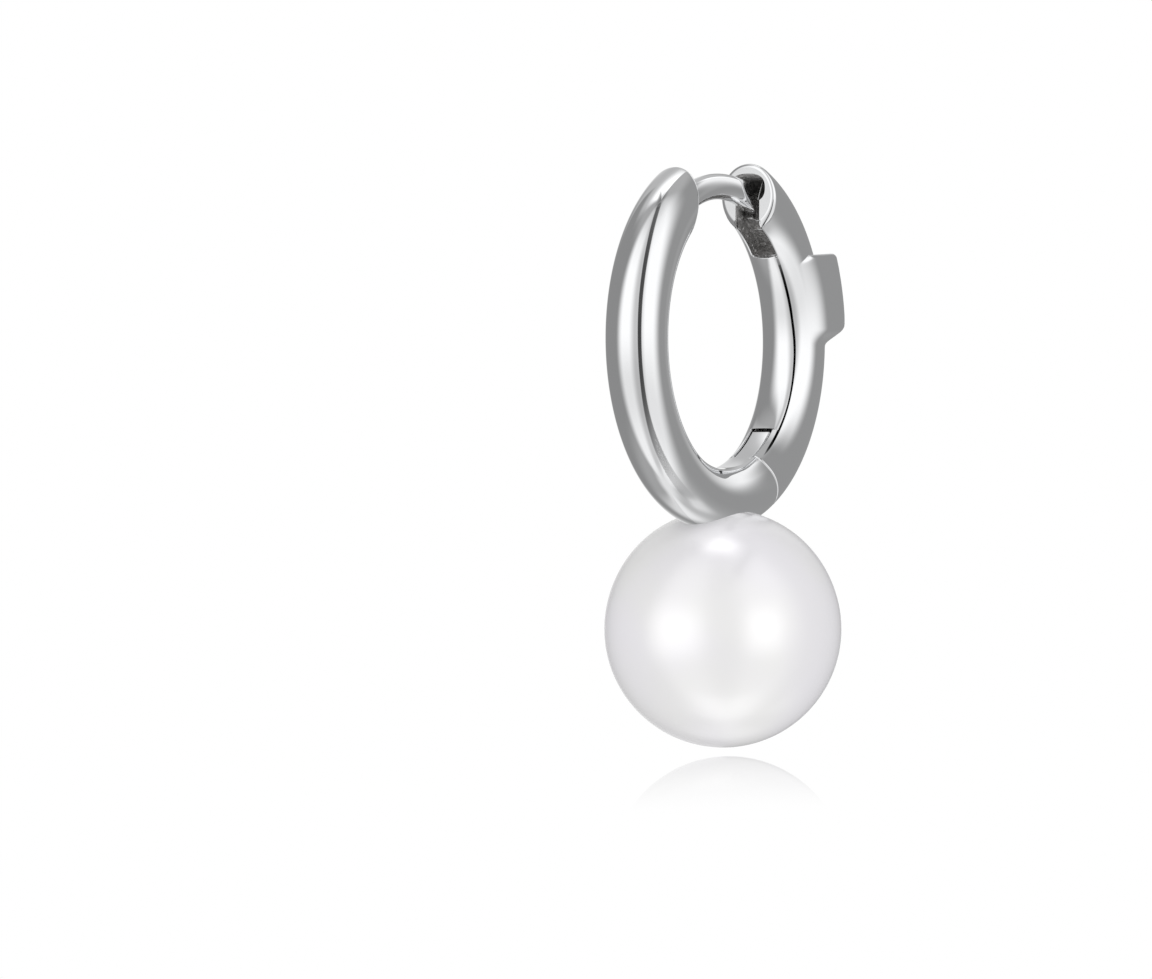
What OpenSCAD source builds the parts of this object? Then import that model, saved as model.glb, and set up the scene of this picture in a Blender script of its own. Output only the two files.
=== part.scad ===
/* [Ring] */
// Radius of the ring's centreline
ring_r = 5.37; // [5.3:0.01:5.5]
// Thickness of the ring's round wire
wire_d = 2.11; // [2.05:0.01:2.2]
// How far the ring's centre lies below the ear post's centreline
ring_drop = 5.17; // [5.15:0.01:5.2]
// Distance of the hoop's upper end from the middle, at the height of the post
front_end_x = 2.55; // [2.4:0.05:2.8]
// How far the hoop's upper end leans over the post, in degrees
front_end_lean = 12; // [0:1:15]
// Distance of the latch arm's upper end from the middle, at the height of the post
arm_end_x = 2.45; // [2.4:0.01:2.5]
// How far the latch arm's upper end leans back, in degrees
arm_end_lean = 4; // [0:1:6]

/* [Ear post] */
// Thickness of the ear post
post_d = 0.86; // [0.8:0.01:0.88]
// Radius of the post's gentle curve
post_curve_r = 5.6; // [5.55:0.01:5.65]
// How far the crest of the post's curve lies towards the latch arm
post_crest_x = 0.2; // [0.15:0.01:0.25]
// Reach of the post's tip, from the middle of the ring
post_tip_x = 3.1; // [3:0.05:3.15]

/* [Latch] */
// Width of the channel in the latch arm's inner face
channel_w = 0.94; // [0.93:0.01:1]
// Distance of the channel's floor from the ring's centre
channel_floor_r = 5; // [4.95:0.01:5.05]
// Angle round the ring at which the channel ends
channel_end_deg = 38; // [34:1:42]
// Diameter of the socket that takes the post's tip
socket_d = 1.28; // [1.26:0.01:1.34]
// Depth of that socket along its axis
socket_depth = 1.15; // [1.1:0.05:1.25]

/* [Thumb tab] */
// Width of the thumb tab on the back of the latch arm
tab_w = 2.56; // [2.4:0.02:2.7]
// Height of the tab's top edge above the ring's centre
tab_top = 2.7; // [2.5:0.05:2.8]

/* [Hinge] */
// Angle round the ring of the joint between hoop and latch arm
split_deg = -67; // [-69:0.5:-66]
// Distance of the hinge axis past that joint
pivot_setback = 0.7; // [0.65:0.01:0.75]
// Distance of the hinge axis from the ring's centre line, measured at the joint
pivot_out = 0.53; // [0.5:0.01:0.56]
// Thickness of the hinge pin
pin_d = 0.36; // [0.3:0.01:0.38]
// Length of the hinge pin
pin_len = 1.2; // [1.1:0.02:1.24]
// Width of the hinge tongue
tongue_w = 0.7; // [0.66:0.01:0.74]
// Angle round the ring of the tongue's tip
tongue_tip_deg = -48; // [-50:0.5:-47.5]
// Angle round the ring at which the tongue's slot ends
slot_end_deg = -46; // [-46.5:0.5:-44]

/* [Pearl] */
// Diameter of the pearl
pearl_d = 8; // [7.5:0.1:8.2]
// Distance of the pearl's centre below the ring's centre
pearl_drop = 9.76; // [9.7:0.01:9.9]
// Thickness of the peg that the pearl is fixed on
peg_d = 0.8; // [0.7:0.05:1]
// Length of the peg inside the pearl
peg_len = 2.4; // [2:0.1:3]

/* [Hidden] */
$fn = 96;

wire_r = wire_d / 2;
ring_outer_r = ring_r + wire_r;
// The small gap between pieces that touch or turn on each other
touch_gap = 0.02;
run_gap = 0.03;
slot_gap = 0.04;
pin_gap = 0.01;
peg_gap = 0.05;
// Air below the peg in the drilled hole, and how far the peg reaches into the ring's wire
peg_end_gap = 0.15;
peg_root = 0.5;
// The latch arm starts this much past the joint, in degrees
split_gap_deg = 0.2;
// Angles that lie past the end faces and the joint, where the wire is cut back
past_front_end_deg = 100;
past_arm_end_deg = 80;
past_joint_deg = 320;
// Larger than any cross-section, for the tools that cut
far = 4;
// Colours of the polished silver and of the pearl
silver = [0.82, 0.83, 0.85];
cream = [0.94, 0.93, 0.91];

// Curve of the post: its centre lies under the crest
post_curve_z = -post_curve_r;
post_arc_deg = [55, 126];
// Where the post's straight underside starts, and where it meets the tip
underside_start = [1.75, -0.67];
underside_slope_deg = 17;
// The notch near the post's tip, as corners measured from the origin
notch_outline = [[2.19, 0.6], [2.19, -0.28], [2.72, -0.7], [2.66, 0.6]];
// Where the post starts, inside the hoop's upper end
post_root_x = -2.95;

// The socket's axis runs along the ring at the arm's end, a little outside the ring's centreline
socket_centre_r = 5.46;
socket_deg = acos(arm_end_x / socket_centre_r);

// The hinge axis, in the ring's plane, and the radius that the arm's heel turns in
pivot_x = (ring_r + pivot_out) * cos(split_deg) - pivot_setback * sin(split_deg);
pivot_z = (ring_r + pivot_out) * sin(split_deg) + pivot_setback * cos(split_deg);
knuckle_r = ring_outer_r - norm([pivot_x, pivot_z]) - touch_gap;
heel_r = pivot_setback - run_gap;
// Outer radius of the thin part of the tongue
tongue_outer_r = 5.3;
// How deep the tongue's thick part reaches inside the hinge axis, and back into the hoop
knuckle_depth = 1.2;
root_overlap = 0.4;
root_deg = split_deg - 4;

// The thumb tab: half its width, and where its flared sides start on the wire
tab_half = tab_w / 2;
flare_r = 5;
flare_half = 0.97;
full_width_r = 5.7;
// The tab seen from the side: straight back, cut corner and foot, from the ring's centre
tab_arc_deg = [-12, 38];
tab_side = [
    [5, tab_top],
    [6.23, tab_top],
    [6.6, 0.6],
    [6.52, 0.25],
    [6.3, 0],
    [5.9, -0.1],
    [5, -0.1]
];

// Stands a shape drawn in the ring's plane upright, with the ring's centre below the origin
module ring_plane() {
    translate([0, 0, -ring_drop])
        rotate([90, 0, 0])
            children();
}

// A piece of the ring's wire between two angles, at any radius and thickness
module arc_wire(r, d, from_deg, to_deg) {
    rotate([0, 0, from_deg])
        rotate_extrude(angle = to_deg - from_deg)
            translate([r, 0])
                circle(d = d);
}

// A square-edged band that follows the ring between two angles
module arc_band(r_in, r_out, width, from_deg, to_deg) {
    rotate([0, 0, from_deg])
        rotate_extrude(angle = to_deg - from_deg)
            translate([r_in, -width / 2])
                square([r_out - r_in, width]);
}

// An upright plate of a given thickness, centred on the ring's plane
module plate(width) {
    translate([0, 0, -width / 2])
        linear_extrude(width)
            children();
}

// Everything to the right (side 1) or to the left (side -1) of a leaning end face
module beyond_end(x, lean, side) {
    translate([x, ring_drop, 0])
        rotate([0, 0, -lean])
            plate(far)
                translate([(side - 1) * far, -far])
                    square([2 * far, 2 * far]);
}

// Places a shape at the hinge joint: x points outwards, y along the ring into the latch arm
module at_split() {
    rotate([0, 0, split_deg])
        translate([ring_r + pivot_out, pivot_setback, 0])
            children();
}

// A round bar across the ring on the hinge axis
module pivot_bar(r, length) {
    translate([pivot_x, pivot_z, -length / 2])
        cylinder(r = r, h = length);
}

// The curved ear post with its straight underside and the notch near its tip
module ear_post() {
    difference() {
        intersection() {
            translate([post_crest_x, 0, post_curve_z])
                rotate([90, 0, 0])
                    arc_wire(post_curve_r, post_d, post_arc_deg[0], post_arc_deg[1]);
            translate([post_root_x, -far / 2, -far])
                cube([post_tip_x - post_root_x, far, 2 * far]);
        }
        translate([underside_start[0], 0, underside_start[1]])
            rotate([0, underside_slope_deg, 0])
                translate([0, -far / 2, -far])
                    cube([far, far, far]);
        rotate([90, 0, 0])
            plate(far)
                polygon(notch_outline);
    }
}

// Outline of the hinge tongue: a knuckle round the pin and a thin tip on the inner side
module tongue_outline() {
    arc_band(ring_r - far / 2, tongue_outer_r, tongue_w, root_deg, tongue_tip_deg);
    pivot_bar(knuckle_r, tongue_w);
    at_split()
        plate(tongue_w)
            translate([-knuckle_depth, -pivot_setback - root_overlap])
                square([far, pivot_setback + root_overlap]);
}

// What is cut from the wire beyond the joint so that only the tongue is left
module around_tongue() {
    difference() {
        rotate([0, 0, split_deg])
            plate(far)
                translate([ring_r - far / 2, 0])
                    square([far, far]);
        tongue_outline();
    }
}

// The part of the latch arm that is cut away for the tongue
module tongue_slot() {
    slot_w = tongue_w + 2 * slot_gap;
    arc_band(ring_r - far / 2, tongue_outer_r + slot_gap, slot_w, root_deg, slot_end_deg);
    at_split()
        plate(slot_w)
            translate([-knuckle_depth, -pivot_setback - root_overlap])
                square([far, pivot_setback + root_overlap + knuckle_r + slot_gap]);
}

// What the heel of the arm loses outside the hinge axis, so that it can turn past the hoop
module heel_relief() {
    difference() {
        at_split()
            plate(far)
                translate([0, -far])
                    square([far, far]);
        pivot_bar(heel_r, 2 * far);
    }
}

// The thumb tab with its flared sides
module thumb_tab() {
    intersection() {
        rotate([0, 0, tab_arc_deg[0]])
            rotate_extrude(angle = tab_arc_deg[1] - tab_arc_deg[0])
                polygon([
                    [flare_r, -flare_half],
                    [full_width_r, -tab_half],
                    [ring_r + far, -tab_half],
                    [ring_r + far, tab_half],
                    [full_width_r, tab_half],
                    [flare_r, flare_half]
                ]);
        plate(far)
            polygon(tab_side);
    }
}

// Front of the ring, with the ear post, the hinge tongue and the pearl's peg soldered on
module hoop() {
    color(silver)
        difference() {
            union() {
                ring_plane()
                    difference() {
                        arc_wire(ring_r, wire_d, past_front_end_deg, past_joint_deg);
                        beyond_end(-front_end_x, front_end_lean, 1);
                        around_tongue();
                    }
                ear_post();
            }
            translate([0, 0, -ring_drop - pearl_drop])
                sphere(d = pearl_d + 2 * touch_gap);
            ring_plane()
                pivot_bar(pin_d / 2 + run_gap, far);
        }
    color(silver)
        translate([0, 0, -ring_drop - pearl_drop + pearl_d / 2 - peg_len])
            cylinder(d = peg_d, h = peg_len + peg_root);
}

// Back of the ring, which swings open: channel and socket for the post, and the thumb tab
module latch_arm() {
    color(silver)
        ring_plane()
            difference() {
                union() {
                    arc_wire(ring_r, wire_d, split_deg + split_gap_deg, past_arm_end_deg);
                    thumb_tab();
                }
                beyond_end(arm_end_x, arm_end_lean, -1);
                arc_band(ring_r - far / 2, channel_floor_r, channel_w, channel_end_deg, past_arm_end_deg);
                rotate([0, 0, socket_deg])
                    translate([socket_centre_r, far / 2, 0])
                        rotate([90, 0, 0])
                            cylinder(d = socket_d, h = far / 2 + socket_depth);
                tongue_slot();
                heel_relief();
                pivot_bar(pin_d / 2 + pin_gap, pin_len + 2 * touch_gap);
            }
}

// The hidden pin that the latch arm turns on
module hinge_pin() {
    color(silver)
        ring_plane()
            pivot_bar(pin_d / 2, pin_len);
}

// The pearl, drilled half-way for its peg
module pearl() {
    color(cream)
        translate([0, 0, -ring_drop - pearl_drop])
            difference() {
                sphere(d = pearl_d);
                translate([0, 0, pearl_d / 2 - peg_len - peg_end_gap])
                    cylinder(d = peg_d + 2 * peg_gap, h = pearl_d);
            }
}

hoop();
latch_arm();
hinge_pin();
pearl();
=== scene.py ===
import math
import bmesh
import bpy
import mathutils
import numpy as np
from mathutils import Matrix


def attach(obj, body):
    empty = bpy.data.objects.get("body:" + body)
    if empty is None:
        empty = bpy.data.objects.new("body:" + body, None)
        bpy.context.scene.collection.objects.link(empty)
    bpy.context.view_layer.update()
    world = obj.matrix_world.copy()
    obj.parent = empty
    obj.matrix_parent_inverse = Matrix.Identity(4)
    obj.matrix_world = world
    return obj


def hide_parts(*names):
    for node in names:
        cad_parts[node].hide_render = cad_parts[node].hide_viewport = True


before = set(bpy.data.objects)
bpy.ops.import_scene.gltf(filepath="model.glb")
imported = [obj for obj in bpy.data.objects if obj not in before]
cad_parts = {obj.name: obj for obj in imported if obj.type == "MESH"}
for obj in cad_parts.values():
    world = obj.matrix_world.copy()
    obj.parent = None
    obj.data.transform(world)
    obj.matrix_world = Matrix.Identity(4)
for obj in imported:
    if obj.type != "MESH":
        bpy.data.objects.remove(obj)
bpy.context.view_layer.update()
print("earring: frame loaded")

mm = 0.001
ring = {
    "radius": 5.37,      # mm, centreline of the wire
    "wire": 1.055,       # mm, half its thickness
    "drop": 5.17,        # mm, ring's centre below the ear post
    "flatIn": 1.03,      # mm, from the wire's middle to the flat inner face that it has at the hinge
    "flatHalf": 0.585,   # mm, half the width of that face
    "corner": 10.0,      # power that rounds its edges
}


def smooth(low, high, x):
    # cubic ease from 0 at low to 1 at high
    t = np.clip((x - low) / (high - low), 0.0, 1.0)
    return t * t * (3.0 - 2.0 * t)


def placed(rho, y, theta):
    # ring coordinates to the frame, in metres: (rho cos theta, y, rho sin theta - drop)
    rho, y, theta = np.broadcast_arrays(rho, y, theta)
    return np.stack([rho * np.cos(theta), y, rho * np.sin(theta) - ring["drop"]], -1) * mm


def endAngle(rho, plane, inset=0.0):
    # angle at which a circle of radius rho meets a leaning end plane that is moved back by inset; with z
    # above the ring's centre the plane is x = x0 + tan(lean) (z - drop)
    lean = math.radians(plane["lean"])
    back = plane["side"] * inset / math.cos(lean)
    c = plane["x"] + back - ring["drop"] * math.tan(lean)
    return np.arccos(np.clip(c * math.cos(lean) / rho, -1.0, 1.0)) - lean


def softMin(power, *distances):
    # smallest of several distances with rounded corners between them: (sum of d^-p)^(-1/p)
    return sum(np.asarray(d, float) ** -power for d in distances) ** (-1.0 / power)


def faceDistance(beta, normal, distance):
    # how far a ray at angle beta runs from the wire's middle to a flat face, 99 where it never meets it
    toward = np.cos(beta - normal)
    return np.where(toward > 0.02, distance / np.maximum(toward, 0.02), 99.0)


def wireOutline(beta, flat):
    # round wire at flat 0; at flat 1 its inner face is flat and runs into the round by tangent sides
    wire, deep, half = ring["wire"], ring["flatIn"], ring["flatHalf"]
    side = math.atan2(half, -deep) - math.acos(wire / math.hypot(half, deep))
    turned = np.abs(np.arctan2(np.sin(beta), np.cos(beta)))
    sides = np.where(turned > side, faceDistance(turned, side, wire), wire)
    hinge = softMin(ring["corner"], sides, faceDistance(turned, math.pi, deep))
    return wire + flat * (hinge - wire)


def gridFaces(first, rows, columns, wrap):
    # quads between neighbouring rows of a grid whose points are numbered from first; wrap closes it round
    r = np.arange(rows - 1)[:, None]
    c = np.arange(columns if wrap else columns - 1)[None, :]
    n = (c + 1) % columns
    row, nextRow = first + r * columns, first + (r + 1) * columns
    quads = [row + c, row + n, nextRow + n, nextRow + c]
    return np.stack([q.ravel() for q in np.broadcast_arrays(*quads)], -1)


def closedTube(rows):
    # rows of points with one more row at each end, drawn together into the middle of the row beside it
    first, last = [row.mean(1, keepdims=True) + 0 * row for row in (rows[:1], rows[-1:])]
    return np.concatenate([first, rows, last])


def newPiece(name, points, faces, materials, body, replaced=(), faceMaterial=None, crease=38):
    # puts the arrays into a mesh, merges its seams and poles, turns its faces outwards and smooths it up to
    # the crease angle in degrees
    mesh = bpy.data.meshes.new(name)
    mesh.from_pydata(points.reshape(-1, 3), [], faces.tolist())
    for material in materials:
        mesh.materials.append(material)
    if faceMaterial is not None:
        mesh.polygons.foreach_set("material_index", faceMaterial.astype(np.int32))
    piece = bpy.data.objects.new(name, mesh)
    bpy.context.scene.collection.objects.link(piece)
    tidyMesh(mesh)
    mesh.polygons.foreach_set("use_smooth", np.ones(len(mesh.polygons), bool))
    mesh.set_sharp_from_angle(angle=math.radians(crease))
    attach(piece, body)
    if replaced:
        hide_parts(*replaced)
    return piece


def tidyMesh(mesh):
    # merges points closer than a tenth of a micron, drops empty faces and makes the volume positive
    b = bmesh.new()
    b.from_mesh(mesh)
    bmesh.ops.remove_doubles(b, verts=b.verts, dist=1e-7)
    bmesh.ops.dissolve_degenerate(b, edges=b.edges, dist=1e-8)
    if b.calc_volume(signed=True) < 0:
        bmesh.ops.reverse_faces(b, faces=b.faces)
    b.to_mesh(mesh)
    b.free()


camera = {
    "distance": 900.0, "width": 38.85, "sensor": 36.0,  # mm
    "right": 4.712, "up": 5.045,  # mm from the middle of the picture to the ring's centre
    "clip": (0.01, 20.0),         # m
}
# level directions from the ring, to the camera's right and towards the camera
levelRight, levelNear = (0.4977, -0.8673, 0.0), (-0.8673, -0.4977, 0.0)
viewDirection = np.array([0.8669, 0.4975, -0.0328])
screenRight = np.array([0.4968, -0.8674, -0.0248])
screenUp = np.array([0.0408, -0.0052, 0.9992])


def addCamera():
    # looks along viewDirection at the point that lies at the middle of the picture
    middle = np.array([0, 0, -ring["drop"]]) - camera["right"] * screenRight - camera["up"] * screenUp
    at = (middle - camera["distance"] * viewDirection) * mm
    lens = bpy.data.cameras.new("photoCamera")
    lens.lens = camera["sensor"] * camera["distance"] / camera["width"]
    lens.sensor_width = camera["sensor"]
    lens.clip_start, lens.clip_end = camera["clip"]
    eye = bpy.data.objects.new("photoCamera", lens)
    bpy.context.scene.collection.objects.link(eye)
    back = -viewDirection / np.linalg.norm(viewDirection)
    right = screenRight - back * (screenRight @ back)
    right /= np.linalg.norm(right)
    up = np.cross(back, right)
    turn = mathutils.Matrix([[right[i], up[i], back[i], at[i]] for i in range(3)] + [[0, 0, 0, 1]])
    eye.matrix_world = turn
    bpy.context.scene.camera = eye


addCamera()
print("earring: camera set")


class Shade:
    # short way to write sums and products with shader nodes
    def __init__(self, tree):
        self.tree = tree

    def node(self, kind, **inputs):
        made = self.tree.nodes.new(kind)
        for key, value in inputs.items():
            self.join(made.inputs[key.replace("_", " ")], value)
        return made

    def join(self, socket, value):
        if isinstance(value, bpy.types.NodeSocket):
            self.tree.links.new(value, socket)
        else:
            socket.default_value = value

    def math(self, operation, a, b=0.0, c=0.0):
        made = self.tree.nodes.new("ShaderNodeMath")
        made.operation = operation
        for socket, value in zip(made.inputs, (a, b, c)):
            self.join(socket, value)
        return made.outputs[0]

    def dot(self, vector, other):
        made = self.tree.nodes.new("ShaderNodeVectorMath")
        made.operation = "DOT_PRODUCT"
        self.join(made.inputs[0], vector)
        made.inputs[1].default_value = other
        return made.outputs["Value"]

    def ease(self, value, low, high, start=0.0, end=1.0):
        made = self.tree.nodes.new("ShaderNodeMapRange")
        made.interpolation_type = "SMOOTHSTEP"
        inputs = {"Value": value, "From Min": low, "From Max": high, "To Min": start, "To Max": end}
        for key, item in inputs.items():
            self.join(made.inputs[key], item)
        return made.outputs["Result"]

    def product(self, *values):
        total = values[0]
        for value in values[1:]:
            total = self.math("MULTIPLY", total, value)
        return total

    def total(self, *values):
        result = values[0]
        for value in values[1:]:
            result = self.math("ADD", result, value)
        return result

    def band(self, value, rise, fall):
        # 1 from the end of the rise to the start of the fall, and 0 outside them
        return self.product(self.ease(value, *rise), self.ease(value, *fall, 1.0, 0.0))

    def mixed(self, share, first, second):
        # first where share is 0 and second where it is 1, for two shaders
        made = self.node("ShaderNodeMixShader", Fac=share)
        self.join(made.inputs[1], first.outputs[0])
        self.join(made.inputs[2], second.outputs[0])
        return made.outputs[0]

    def tinted(self, share, first, second):
        # first where share is 0 and second where it is 1, for two colours
        made = self.tree.nodes.new("ShaderNodeMix")
        made.data_type = "RGBA"
        for key, value in (("Factor", share), ("A", first), ("B", second)):
            self.join(made.inputs[key], value)
        return made.outputs["Result"]


white, black = (1, 1, 1, 1), (0, 0, 0, 1)
studio = {
    # ranges in degrees, of azimuth round the camera's direction, positive to its right, or of elevation
    "silver": 0.9,         # reflectivity that the brightness below is divided by
    "sides": 0.25,         # grey of the studio beside and behind the softboxes
    "sidesLow": (-60, -30, 0.10, 0.0),    # light added to it low down, high up, and on the right
    "sidesHigh": (45, 65, 0.0, 0.12),
    "sidesRight": ((50, 85), (-55, -16, 0.13, 0.03)),
    "leftBox": ((-84, -55), (-32, -6)),   # softboxes: where their light rises and where it falls
    "rightBox": ((8, 32), (58, 96)),
    "front": 0.30,         # pale wall between the two boxes
    "boxHigh": (40, 86, 0.0, 0.75),       # share of their light that is lost high up, and low down
    "boxLow": (-22, 8, 0.32, 0.0),
    "back": 0.45,          # wall behind the earring, where it begins, and where it rises from the floor
    "backEdge": (146, 151),
    "backUp": (6, 30),
    "backLeft": ((108, 132), (-0.2, -0.1), (40, 52)),  # wider part high on its left: azimuth, side, elevation
    "backTop": ((55, 74), 0.6),           # white high up on it
    "backLow": ((-174, -158), ((-40, -4), (4, 40)), 0.45),        # pale stretch level with the earring
    "backFloor": ((140, 172), (-54, -38), 0.32),          # floor before it
    "lowStreak": (((98, 110), (118, 136)), ((-68, -58), (-50, -36)), 0.20),  # pale streak on the floor, right
    "nadir": (-86, -70, 0.74),            # one tone straight below, where all azimuths meet
    "zenith": (79, 88, 0.5),              # share that is left straight above
    "backdrop": ((170, 177), ((-9, -4), (4, 9))),  # plain white where the camera looks past the earring
    "fill": (-60, 60, 0.90, 0.95),        # light that dull surfaces get from below and from above
}


def addStudio():
    # brightness of the studio as a function of azimuth from the camera and of elevation: softboxes left and
    # right, grey sides, a pale back wall that turns white high up, and plain white behind the earring
    world = bpy.data.worlds.new("studio")
    bpy.context.scene.world = world
    world.use_nodes = True
    tree = world.node_tree
    tree.nodes.clear()
    s = Shade(tree)
    direction = tree.nodes.new("ShaderNodeTexCoord").outputs["Generated"]
    right, near = s.dot(direction, levelRight), s.dot(direction, levelNear)
    height = s.dot(direction, (0.0, 0.0, 1.0))
    around = s.math("MULTIPLY", s.math("ARCTAN2", right, near), math.degrees(1.0))
    up = s.math("MULTIPLY", s.math("ARCSINE", height), math.degrees(1.0))
    away = s.math("ABSOLUTE", around)
    # softboxes, and the wall between them
    boxes = s.total(s.band(around, *studio["leftBox"]), s.band(around, *studio["rightBox"]))
    front = s.product(s.band(around, studio["leftBox"][1], studio["rightBox"][0]), studio["front"])
    lost = s.total(s.ease(up, *studio["boxHigh"]), s.ease(up, *studio["boxLow"]))
    boxes = s.product(s.total(s.product(boxes, 1.0 - studio["sides"]), front), s.math("SUBTRACT", 1.0, lost))
    # grey sides
    beside, low = studio["sidesRight"]
    sides = s.total(studio["sides"], s.ease(up, *studio["sidesLow"]), s.ease(up, *studio["sidesHigh"]),
                    s.product(s.ease(around, *beside), s.ease(up, *low)))
    # wall behind the earring
    edge, reach, high = studio["backLeft"]
    wider = s.product(s.ease(away, *edge), s.ease(right, *reach, 1.0, 0.0), s.ease(up, *high))
    behind = s.math("MAXIMUM", s.ease(away, *studio["backEdge"]), wider)
    high, strength = studio["backTop"]
    backWall = s.total(s.product(behind, studio["back"] - studio["sides"], s.ease(up, *studio["backUp"])),
                       s.product(behind, s.ease(up, *high), strength))
    edge, level, strength = studio["backLow"]
    backLow = s.product(s.ease(around, *edge, 1.0, 0.0), s.band(up, *level), strength)
    # floor
    edge, low, strength = studio["backFloor"]
    backFloor = s.product(s.ease(away, *edge), s.ease(up, *low, 1.0, 0.0), strength)
    beside, low, strength = studio["lowStreak"]
    lowStreak = s.product(s.band(around, *beside), s.band(up, *low), strength)
    light = s.total(sides, boxes, backWall, backLow, backFloor, lowStreak)
    # one tone below and above
    low, high, tone = studio["nadir"]
    nadir = s.ease(up, low, high, 1.0, 0.0)
    light = s.total(s.product(light, s.math("SUBTRACT", 1.0, nadir)), s.product(nadir, tone))
    low, high, tone = studio["zenith"]
    light = s.product(light, s.ease(up, low, high, 1.0, tone))
    edge, level = studio["backdrop"]
    backdrop = s.product(s.ease(away, *edge), s.band(up, *level))
    seen = s.math("MAXIMUM", s.math("DIVIDE", light, studio["silver"]), backdrop)
    # mirrors see all this, dull surfaces an even light, and the camera white
    path = tree.nodes.new("ShaderNodeLightPath")
    mirrored, isCamera = path.outputs["Is Glossy Ray"], path.outputs["Is Camera Ray"]
    dull = s.product(s.ease(up, *studio["fill"]), s.math("SUBTRACT", 1.0, mirrored))
    shown = s.math("MAXIMUM", s.total(s.product(seen, mirrored), dull), isCamera)
    background = s.node("ShaderNodeBackground", Color=white)
    tree.links.new(shown, background.inputs["Strength"])
    output = tree.nodes.new("ShaderNodeOutputWorld")
    tree.links.new(background.outputs[0], output.inputs["Surface"])


addStudio()
bpy.context.scene.view_settings.view_transform = "Standard"
bpy.context.scene.view_settings.look = "None"


def newMaterial(name):
    # a material with an empty node tree, and the short way to write its nodes
    material = bpy.data.materials.new(name)
    material.use_nodes = True
    material.node_tree.nodes.clear()
    return material, Shade(material.node_tree)


def finishMaterial(material, shader):
    # gives the material its surface
    output = material.node_tree.nodes.new("ShaderNodeOutputMaterial")
    material.node_tree.links.new(shader, output.inputs["Surface"])
    return material


silver = {
    "colour": (0.895, 0.9, 0.91, 1), "roughness": (0.03, 0.06), "marks": 2600.0,
    "satin": (0.70, 0.705, 0.71, 1), "satinRoughness": (0.13, 0.20), "streaks": 1500.0,
}


def polishedSilver():
    # mirror polish with very faint wiping marks that only stir the roughness
    material, s = newMaterial("polishedSilver")
    place = s.tree.nodes.new("ShaderNodeTexCoord").outputs["Object"]
    marks = s.node("ShaderNodeTexNoise", Vector=place, Scale=silver["marks"], Detail=4.0)
    rough = s.ease(marks.outputs["Fac"], 0.3, 0.75, *silver["roughness"])
    metal = s.node("ShaderNodeBsdfPrincipled", Base_Color=silver["colour"], Metallic=1.0, Roughness=rough)
    return finishMaterial(material, metal.outputs[0])


arm = {
    # mm, and degrees round the ring
    "plane": {"x": 2.45, "lean": 4.0, "side": 1.0},  # end face at the top; side is +1 at the ring's +X end
    "rim": 0.16,               # rounded edge of that face
    "split": -66.75, "splitBevel": 0.045,  # joint to the hoop, and its bevel
    "flat": (-50.0, 6.0),      # degrees over which the wire loses its flat inner face
    "window": 0.53,            # half the width of the inner strip that channel and slot are sunk in
    "channel": (0.46, -0.37),  # half width, and floor measured from the wire's middle
    "slot": (0.39, -0.04),     # the same
    "socket": (0.24, 0.455, 0.67, 2.6),  # centre from the wire's middle, half height, half width, and the
                                         # power that rounds it
    "channelFrom": 38.0, "socketFrom": 53.8, "slotTo": -46.0,
    "steps": (0.6, 0.4, 0.5),  # degrees on both sides over which channel, slot and socket set in
    "notch": (1.35, 0.11),     # degrees that the socket reaches further for the post's tip, half width there
    "ridge": (46.4, 0.45, 0.03, 0.38),  # small ridge across the channel: degrees, half width in degrees,
                                        # height, half length
    "polish": (0.35, 0.36, 0.75),  # bright edges in the channel: degrees to both sides, half length, and
                                   # degrees before the socket sets in
    "heel": (0.53, 0.67, 9.0),  # hinge axis from the wire's middle, radius that the heel is rounded to, to
                                # turn past the hoop, and degrees over which the rounding runs out
    "slotRoom": (0.34, 4.7),    # how much deeper the slot is at the joint, degrees over which this runs out
    "endRun": 9.0,              # degrees over which the rows turn into the end plane
    "columns": 128, "pitch": 0.6, "capRows": 6,
}

cast = {
    "dark": (0.30, 0.295, 0.29, 1), "light": (0.78, 0.77, 0.76, 1), "roughness": 0.42,
    "grain": 9000.0, "specks": 5200.0, "bump": 0.00006,
    "deep": (0.40, 0.62, -1.40, -1.05),  # painted shade deep in the socket sets in: mm behind the end plane, and height in mm
    "paintedShade": 0.60,                     # share of the shine that this painted shade takes away
    "near": (0.05, 0.48, 0.75),          # painted light that makes the socket paler near its mouth: mm behind the end plane, and strength
    "dull": (0.8, 0.6, 0.12),            # share of the mirror lost on specks, and where the mouth and side walls are painted lighter
}


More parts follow.
